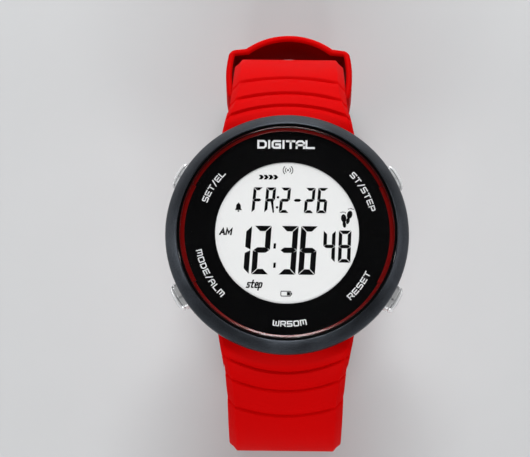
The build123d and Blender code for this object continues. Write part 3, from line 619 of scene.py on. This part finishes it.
# ---- Strap --------------------------------------------------------------------------------------
class Path:
    """Side view of the strap's skin: tangent lines and arcs, u outwards and v up, by arc length."""

    def __init__(self, start, heading):
        self.point, self.heading, self.length, self.runs = start, heading, 0.0, []

    def add(self, size, turn=None):
        """An arc of radius size that turns downwards by turn degrees, or a line of length size."""
        span = size if turn is None else size * radians(turn)
        self.runs.append((self.length, span, self.point, self.heading, size, turn))
        self.length += span
        self.point, self.heading = self.at(self.length)
        return self

    def at(self, s):
        """(point, heading) at arc length s, going straight on beyond the ends."""
        run = self.runs[0]
        for candidate in self.runs:
            if s >= candidate[0] - 1e-9:
                run = candidate
        begin, span, (u, v), heading, size, turn = run
        local = s - begin
        a = radians(heading)
        if turn is None:
            return (u + local * cos(a), v + local * sin(a)), heading
        b = a - local / size
        return (u + size * (sin(a) - sin(b)), v - size * (cos(a) - cos(b))), degrees(b)

    def reach(self, u):
        """Arc length at which the skin is u out from the dial axis, before the strap turns down."""
        low, high = -8.0, 32.0
        for _ in range(40):
            middle = (low + high) / 2
            if self.at(middle)[0][0] < u:
                low = middle
            else:
                high = middle
        return (low + high) / 2


def root_path():
    path = Path((16.0, 9.9), 0.0).add(6.55).add(6.0, 17.8)
    return path.add(11.0, 22.2).add(64.0, 10.0).add(30.0, 8.0)


STRAP_HALF_W, LEG_END_HALF_W = 11.75, 11.2
LEG_T = 3.8
KNUCKLE_R = 2.1
NOTCH = 7.0  # slot for the tongue at the leg's end
HOLE_FIRST, HOLE_PITCH, HOLE_COUNT = 10.5, 5.5, 6  # from the tail's tip
STRAP_SHARP = 34
UPPER = root_path()
ROOT_END = UPPER.length
UPPER.add(48.0, 18.0).add(10.0, 29.0)
LEG_FROM = UPPER.length
KNUCKLE_V = KNUCKLE_R - BASE
(leg_u, leg_v), leg_heading = UPPER.at(UPPER.length)
LEG_START = ((leg_u, leg_v), leg_heading)
inset_v = leg_v - LEG_T / 2 * cos(radians(leg_heading))
UPPER.add((inset_v - KNUCKLE_V) / -sin(radians(leg_heading)))
(end_u, _), end_heading = UPPER.at(UPPER.length)
KNUCKLE = (end_u + LEG_T / 2 * sin(radians(end_heading)), KNUCKLE_V)
LOWER = root_path().add(20.5, 42.0)
SEAM = LOWER.length
LOWER.add(30.0, 50.0)
FRONT_END = LOWER.length
LOWER.add(30.0, 30.0).add(26.4)

PLAN = [(0.0, 14.0), (20.5, 13.9), (24.0, 13.2), (27.5, 12.55), (33.5, 11.98), (40.0, 11.78), (48.0, 11.75)]
GROOVES = (28.1, 31.5, 36.0)
GROOVE_OFFSETS = (-1.5, -1.2, -0.9, -0.65, -0.42, -0.3, -0.2, -0.1, 0.0, 0.1, 0.2, 0.3, 0.42, 0.6, 0.9)


def lookup(table, x):
    for (x0, y0), (x1, y1) in zip(table, table[1:]):
        if x <= x1:
            return y0 + (y1 - y0) * max(0.0, x - x0) / (x1 - x0)
    return table[-1][1]


def groove_depth(radius):
    """Depth of the arched grooves at a plan radius: a narrow valley and a roll-off towards the case."""
    depth = 0.0
    for groove in GROOVES:
        off = radius - groove
        valley = 0.62 * (1 - smooth(abs(off), 0.04, 0.42))
        roll = 0.26 * (1 - smooth(-off, 0.0, 1.5)) if off < 0 else 0.10 * (1 - smooth(off, 0.0, 0.5))
        depth = max(depth, valley, roll)
    return depth


def stations(path, stop):
    """Centre positions of the rows: every plan radius that the grooves need, then a row each 0.9 mm."""
    radii = [22.85, 23.4, 24.0, 24.6, 25.2, 25.8, 26.3, 26.8, 27.1, 27.15]
    for groove in GROOVES:
        radii += [groove + off for off in GROOVE_OFFSETS]
    radii += [29.5, 30.0, 33.0, 33.7, 34.3, 37.4]
    marks = sorted({round(path.reach(r), 4) for r in radii})
    s = marks[-1] + 0.9
    while s < stop - 0.5:
        marks.append(s)
        s += 0.9
    return marks + [stop]


def cross_section(w, t, c):
    """Half outline, centre of the skin to centre of the underside: (across, depth) points."""
    inner = 1.6
    top = [(0.0, 0.0), (0.8, 0.0)] + [(inner + (w - c - inner) * i / 9, 0.0) for i in range(10)]
    bevel = [(w - c + 0.14 * c, 0.05 * c), (w - 0.5 * c, 0.5 * c), (w - 0.05 * c, 0.86 * c), (w, c)]
    side = [(w, c + 0.35 * (t - c - 0.6)), (w, t - 0.6), (w - 0.09, t - 0.3), (w - 0.3, t - 0.09),
            (w - 0.6, t)]
    bottom = [(inner + (w - 0.6 - inner) * i / 9, t) for i in reversed(range(9))] + [(0.8, t), (0.0, t)]
    return top + bevel + side + bottom


TOP_COUNT = 12


def strap(name, path, begin, stop, side, t_of, w_of, c_of, body, replaces, notch=0.0, tip=0.0):
    """One closed length of strap; notch leaves a slot for the tongue, tip rounds the plan of the end."""
    rows = [s for s in stations(path, stop) if s >= begin - 1e-6]
    if rows[0] > begin + 1e-3:
        rows.insert(0, begin)
    if notch:
        rows = sorted({*rows, stop - notch})
    if tip:
        rows = [s for s in rows if s < stop - tip - 0.3]
        rows += [stop - tip + tip * sin(radians(90 * i / 14)) for i in range(15)]
        rows[-1] = stop - 0.02
    verts, ring = [], None
    for s in rows:
        (u0, _), _ = path.at(s)
        bend = 1 - smooth(u0, 37.0, 44.0) if s < path.reach(44.0) else 0.0
        w = w_of(s, u0)
        if bend:
            for _ in range(8):
                u_edge = u0 - bend * (u0 - sqrt(max(0.0, u0 * u0 - w * w)))
                w = lookup(PLAN, u_edge)
        if tip and s > stop - tip:
            w = max(1.7, w_of(s, u0) - tip + tip * sqrt(max(0.0, 1 - ((s - (stop - tip)) / tip) ** 2)))
        t, c = t_of(s, u0), min(c_of(s, u0), w * 0.45)
        cut = groove_depth(u0) if bend else 0.0
        half = []
        for index, (x, depth) in enumerate(cross_section(w, t, c)):
            u = u0 - bend * (u0 - sqrt(max(0.0, u0 * u0 - x * x)))
            where = s if not bend else path.reach(u)
            (pu, pv), heading = path.at(where)
            sink = depth
            if index < TOP_COUNT + 3:
                edge = smooth(x, w - c - 1.2, w - c + 0.4)
                sink += cut * (1 - 0.45 * edge)
            elif index < TOP_COUNT + 6:
                x -= cut * 0.42
            a = radians(heading)
            half.append((x, pu + sink * sin(a), pv - sink * cos(a)))
        full = half + [(-x, u, v) for x, u, v in reversed(half[1:-1])]
        ring = len(full)
        verts += [(x, side * u, v) for x, u, v in full]
    half_count = len(half)
    slot_from = len(rows)
    if notch:
        slot_from = min(i for i, s in enumerate(rows) if s > stop - notch - 1e-6)
    inner = 2
    slot_quads = set(range(inner)) | {ring - 1 - k for k in range(inner)}
    slot_quads |= set(range(half_count - 1 - inner, half_count - 1 + inner))
    faces = []
    for i in range(len(rows) - 1):
        for k in range(ring):
            if i >= slot_from and k in slot_quads:
                continue
            n = (k + 1) % ring
            faces.append((i * ring + k, i * ring + n, (i + 1) * ring + n, (i + 1) * ring + k))
    last = (len(rows) - 1) * ring
    faces.append(tuple(range(ring)))
    if notch:
        right_top, right_low = inner, half_count - 1 - inner
        left_top, left_low = ring - inner, half_count - 1 + inner
        for top, low in ((right_top, right_low), (left_top, left_low)):
            for i in range(slot_from, len(rows) - 1):
                faces.append((i * ring + top, i * ring + low, (i + 1) * ring + low, (i + 1) * ring + top))
        faces.append(tuple(last + k for k in range(right_top, right_low + 1)))
        faces.append(tuple(last + k for k in range(left_low, left_top + 1)))
        near = slot_from * ring
        loop = [near + k for k in (ring - 2, ring - 1, 0, 1, 2)]
        loop += [near + k for k in range(right_low, left_low + 1)]
        faces.append(tuple(loop))
    else:
        faces.append(tuple(range(last, last + ring)))
    return piece(name, verts, faces, SILICONE, body, "strap_red", replaces, sharp=STRAP_SHARP, ride=False)


def strap_width(s, u):
    return STRAP_HALF_W


def leg_width(s, u):
    share = min(1.0, max(0.0, (s - LEG_FROM) / (UPPER.length - LEG_FROM)))
    return STRAP_HALF_W - (STRAP_HALF_W - LEG_END_HALF_W) * share


def strap_chamfer(s, u):
    return 0.9 + 0.85 * smooth(s, 10.0, 20.0)


def strap_thick(s, u):
    if s < ROOT_END + 2 and u < 27.12:
        return 2.0
    return 4.2 - 0.4 * smooth(s, ROOT_END - 3, ROOT_END + 3)


def tail_width(s, u):
    return STRAP_HALF_W - 0.75 * smooth(s, SEAM + 6, FRONT_END + 6)


def tail_chamfer(s, u):
    return 1.75 - 0.75 * smooth(s, SEAM + 4, FRONT_END + 8)


def tail_thick(s, u):
    return LEG_T - 0.3 * smooth(s, FRONT_END - 5, FRONT_END + 5)


def on_path(path, s, side, depth=1.9):
    (u, v), heading = path.at(s)
    a = radians(heading)
    return (0.0, side * (u + depth * sin(a)) * MM, (v - depth * cos(a) + BASE) * MM)


START = UPPER.reach(22.85)
upper = strap("strap_upper", UPPER, START, UPPER.length, 1, strap_thick, leg_width, strap_chamfer,
              "upper_strap_root", ["strap_upper_root", "strap_upper_leg"], notch=NOTCH)
on_path(UPPER, ROOT_END - 6, 1)
on_path(UPPER, ROOT_END + 7, 1)
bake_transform(upper)
lower = strap("strap_lower", LOWER, START, SEAM, -1, strap_thick, strap_width, strap_chamfer,
              "lower_strap_root", ["strap_lower_root", "strap_lower_front"])
on_path(LOWER, ROOT_END - 6, -1)
on_path(LOWER, ROOT_END + 7, -1)
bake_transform(lower)
TIP = 9.6
tail = strap("strap_tail", LOWER, SEAM, LOWER.length, -1, tail_thick, tail_width, tail_chamfer,
             "lower_strap_front", ["strap_lower_tail"], tip=TIP)
for i in range(HOLE_COUNT):
    s = LOWER.length - HOLE_FIRST - HOLE_PITCH * i
    (u, v), heading = LOWER.at(s)
    a = radians(heading)
    out = (-sin(a), cos(a))
    verts = []
    for depth, r in ((-1.0, 1.55), (0.0, 1.5), (0.4, 1.22), (3.0, 1.22), (3.5, 1.5), (4.6, 1.5)):
        for x, y in arc_points(0, 0, r, 0, 348.75, 31):
            verts.append((x, -(u - depth * out[0] + y * cos(a)), v - depth * out[1] + y * sin(a)))
    carve(tail, verts, tube_faces(6, 32), SILICONE, STRAP_SHARP)
on_path(LOWER, FRONT_END - 7, -1)
on_path(LOWER, FRONT_END + 7, -1)
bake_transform(tail)


def rounded_block(outline, x0, x1, round_off):
    """A side-view outline swept from x0 to x1 with its rims rounded: (points, faces)."""
    cu = sum(p[0] for p in outline) / len(outline)
    cv = sum(p[1] for p in outline) / len(outline)
    verts = []
    rows = [(x0, round_off), (x0 + 0.3 * round_off, 0.3 * round_off), (x0 + round_off, 0.0),
            (x1 - round_off, 0.0), (x1 - 0.3 * round_off, 0.3 * round_off), (x1, round_off)]
    for x, inset in rows:
        for u, v in outline:
            d = hypot(u - cu, v - cv)
            k = 1 - inset / d
            verts.append((x, cu + (u - cu) * k, cv + (v - cv) * k))
    return verts, tube_faces(len(rows), len(outline))


EAR_X = 12.72  # an ear's inner face, outside the lug
# Heel that wraps the spring bar between the lugs, and an ear outside each lug.
HEEL = ([(22.85, 8.9), (22.85, 3.6), (23.1, 3.1), (23.6, 2.85)] + arc_points(25.4, 5.0, 2.15, -90, -10, 8)
        + [(28.4, 5.4), (28.0, 6.6), (26.2, 8.0), (24.2, 8.9)])
EAR = ([(19.6, 9.3), (19.6, 3.6), (20.0, 3.0), (20.6, 2.85)] + arc_points(24.6, 5.0, 2.15, -90, -10, 8)
       + [(26.6, 6.4), (25.4, 7.8), (23.6, 9.0)])
for word, side in (("upper", 1), ("lower", -1)):
    body = f"{word}_strap_root"
    verts, faces = rounded_block(HEEL, -9.65, 9.65, 0.25)
    heel = [(x, side * u, v) for x, u, v in verts]
    piece(f"strap_{word}_heel", heel, faces, SILICONE, body, "strap_red", sharp=STRAP_SHARP)
    for label, hand in (("right", 1), ("left", -1)):
        verts, faces = rounded_block(EAR, 0.0, 1.0, 0.12)
        edged = [(hand * (EAR_X + x * (lookup(PLAN, u) - EAR_X)), side * u, v) for x, u, v in verts]
        piece(f"strap_{word}_ear_{label}", edged, faces, SILICONE, body, "strap_red", sharp=STRAP_SHARP)
SLOT_X = 1.62  # half the gap in the knuckle where the tongue turns
for label, x0, x1 in (("right", SLOT_X, LEG_END_HALF_W), ("left", -LEG_END_HALF_W, -SLOT_X)):
    ring = [(KNUCKLE[0] + a, KNUCKLE[1] + b) for a, b in arc_points(0, 0, KNUCKLE_R, 0, 352.5, 47)]
    verts, faces = rounded_block(ring, x0, x1, 0.3)
    piece(f"strap_knuckle_{label}", verts, faces, SILICONE, "upper_strap_leg", "strap_red",
          sharp=STRAP_SHARP)


# ---- Keeper -------------------------------------------------------------------------------------
def through(p, q, r, steps):
    """Points of the arc from p through q to r."""
    (ax, ay), (bx, by), (cx, cy) = p, q, r
    d = 2 * (ax * (by - cy) + bx * (cy - ay) + cx * (ay - by))
    ux = ((ax**2 + ay**2) * (by - cy) + (bx**2 + by**2) * (cy - ay) + (cx**2 + cy**2) * (ay - by)) / d
    uy = ((ax**2 + ay**2) * (cx - bx) + (bx**2 + by**2) * (ax - cx) + (cx**2 + cy**2) * (bx - ax)) / d
    radius = hypot(ax - ux, ay - uy)
    a0, a1, a2 = (atan2(y - uy, x - ux) for x, y in (p, q, r))
    turn = (a2 - a0) % (2 * pi)
    if (a1 - a0) % (2 * pi) > turn:
        turn -= 2 * pi
    return [(ux + radius * cos(a0 + turn * i / steps), uy + radius * sin(a0 + turn * i / steps))
            for i in range(steps)]


def keeper_loop(half_width, depth, shoulder, arch, arch_half, corner):
    """Outline seen along the strap, as in the solid: x across, y out of the strap's skin."""
    waist = half_width - 0.45
    top, low = shoulder - corner, -depth + corner
    k = 0.3 * corner
    right = through((waist - corner, -depth), (waist - k, -depth + k), (waist, low), 8)
    right += through((waist, low), (half_width, (top + low) / 2), (waist, top), 10)
    right += through((waist, top), (waist - k, shoulder - k), (waist - corner, shoulder), 8)
    shoulder_x = waist - corner
    right += [(shoulder_x + (arch_half - shoulder_x) * i / 3, shoulder + 0.3 * i / 3) for i in range(3)]
    crown = through((arch_half, shoulder + 0.3), (0, arch), (-arch_half, shoulder + 0.3), 24)
    left = [(-x, y) for x, y in reversed(right)]
    floor_x = waist - corner
    floor = [(-floor_x + 2 * floor_x * i / 12, -depth) for i in range(1, 12)]
    return right + crown + [(-arch_half, shoulder + 0.3)] + left + floor


outer = keeper_loop(13.9, 8.2, 4.7, 8.4, 9.6, 1.7)
inner = keeper_loop(12.55, 6.7, 3.2, 6.9, 9.0, 0.35)
KEEPER_START = 0.8  # from the start of the straight leg
# Section of the wall: share of the way from the inner to the outer outline, and position along the leg.
WALL = [(0.38, 0.0), (0.62, 0.0), (0.86, 0.12), (1.0, 0.55), (1.0, 8.45), (0.86, 8.88), (0.62, 9.0),
        (0.38, 9.0), (0.14, 8.88), (0.0, 8.45), (0.0, 0.55), (0.14, 0.12)]
# The wall row that faces into the loop; its faces get the painted shade.
PAINTED_SHADE_FACE = WALL.index((0.0, 8.45))
(ku, kv), heading = LEG_START
a = radians(heading)
along, out = (cos(a), sin(a)), (-sin(a), cos(a))
verts, faces = [], []
for (ox, oy), (ix, iy) in zip(outer, inner):
    for q, h in WALL:
        x, y = ix + (ox - ix) * q, iy + (oy - iy) * q
        s = KEEPER_START + h
        verts.append((x, ku + s * along[0] + y * out[0], kv + s * along[1] + y * out[1]))
size, count = len(WALL), len(outer)
for i in range(count):
    j = (i + 1) % count
    for k in range(size):
        n = (k + 1) % size
        faces.append((i * size + k, i * size + n, j * size + n, j * size + k))
keeper = piece("keeper_loop", verts, faces, SILICONE, "keeper", "strap_red", ["keeper"], sharp=60)
# Painted shade: the darker red goes on the keeper's inner wall, where the hollow of the loop lies in shadow.
keeper.data.materials.append(SILICONE_PAINTED_SHADE)
for index, polygon in enumerate(keeper.data.polygons):
    polygon.material_index = int(index % size == PAINTED_SHADE_FACE)

for name in ("buckle_frame", "buckle_tongue", "case_back", "case_body"):
    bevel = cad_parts[name].modifiers.new("edge", "BEVEL")
    bevel.width = 0.00022
    bevel.segments = 2
    bevel.limit_method = "ANGLE"
    bevel.angle_limit = radians(38)
    bevel.harden_normals = True


# ---- Floor, light and camera --------------------------------------------------------------------
def stage_floor():
    mesh = bpy.data.meshes.new("floor")
    mesh.from_pydata([(-3, -3, 0), (3, -3, 0), (3, 3, 0), (-3, 3, 0)], [], [(0, 1, 2, 3)])
    floor = placed_object("floor", mesh)
    mesh.materials.append(surface("floor_pale", (0.60, 0.61, 0.62), dark=0.98, rough=0.8, grain=60, patch=3,
                                  specular=0.1))


def bearing(azimuth, elevation):
    """Unit vector out of the dial; azimuth 0 is the 6 o'clock side."""
    a, e = radians(azimuth), radians(elevation)
    return Vector((sin(a) * cos(e), -cos(a) * cos(e), sin(e)))


def lamp(name, azimuth, elevation, distance, width, height, watts):
    """A soft rectangular lamp aimed at the dial."""
    data = bpy.data.lights.new(name, "AREA")
    data.shape = "RECTANGLE"
    data.size, data.size_y = width, height
    data.energy = watts
    lamp_object = placed_object(name, data)
    back = bearing(azimuth, elevation)
    target = Vector((0, 0, (BASE + 8) * MM))
    lamp_object.location = target + back * distance
    lamp_object.rotation_mode = "QUATERNION"
    lamp_object.rotation_quaternion = (-back).to_track_quat("-Z", "Y")


stage_floor()
lamp("key_far", 180, 45, 0.7, 0.30, 0.28, 3.5)
lamp("strip_far", 180, 13, 0.6, 0.30, 0.10, 1.3)
lamp("strip_left", -90, 15, 0.6, 0.34, 0.12, 0.75)
lamp("strip_right", 90, 15, 0.6, 0.34, 0.12, 0.55)
lamp("fill_near", 0, 37, 0.8, 0.50, 0.28, 4.3)

world = bpy.data.worlds.new("studio")
bpy.context.scene.world = world
world.use_nodes = True
tree = world.node_tree
tree.nodes.clear()
sky_out = node(tree, "ShaderNodeOutputWorld")
sky = node(tree, "ShaderNodeBackground")
direction = node(tree, "ShaderNodeTexCoord")
split = node(tree, "ShaderNodeSeparateXYZ")
fade = node(tree, "ShaderNodeMapRange", interpolation_type="SMOOTHSTEP")
fade.inputs["From Min"].default_value = 0.62
fade.inputs["From Max"].default_value = 0.90
fade.inputs["To Min"].default_value = 0.04
fade.inputs["To Max"].default_value = 0.012
tree.links.new(direction.outputs["Generated"], split.inputs[0])
tree.links.new(split.outputs["Z"], fade.inputs[0])
tree.links.new(fade.outputs[0], sky.inputs["Strength"])
tree.links.new(sky.outputs[0], sky_out.inputs[0])

scene = bpy.context.scene
scene.view_settings.view_transform = "Standard"
scene.view_settings.look = "None"
camera_data = bpy.data.cameras.new("camera")
camera_data.sensor_width = 36.0
camera_data.lens = 182.4
camera = placed_object("camera", camera_data)
scene.camera = camera
ELEVATION, AZIMUTH, DISTANCE = 79.0, 0.6, 0.550
back = bearing(AZIMUTH, ELEVATION)
waist = Vector((0, 0, (BASE + 11) * MM))
camera.location = waist + back * DISTANCE
right = Vector((cos(radians(AZIMUTH)), sin(radians(AZIMUTH)), 0))
up = back.cross(right)
AIM_LEFT, AIM_UP = 0.00452, 0.00117  # the watch sits right of the picture's middle and below it
aim = waist - right * AIM_LEFT + up * AIM_UP
look = (aim - camera.location).normalized()
level = look.cross(up).normalized()
turn = Matrix((level, level.cross(look), -look)).transposed()
camera.rotation_mode = "QUATERNION"
camera.rotation_quaternion = turn.to_quaternion()
camera_data.clip_start = 0.01
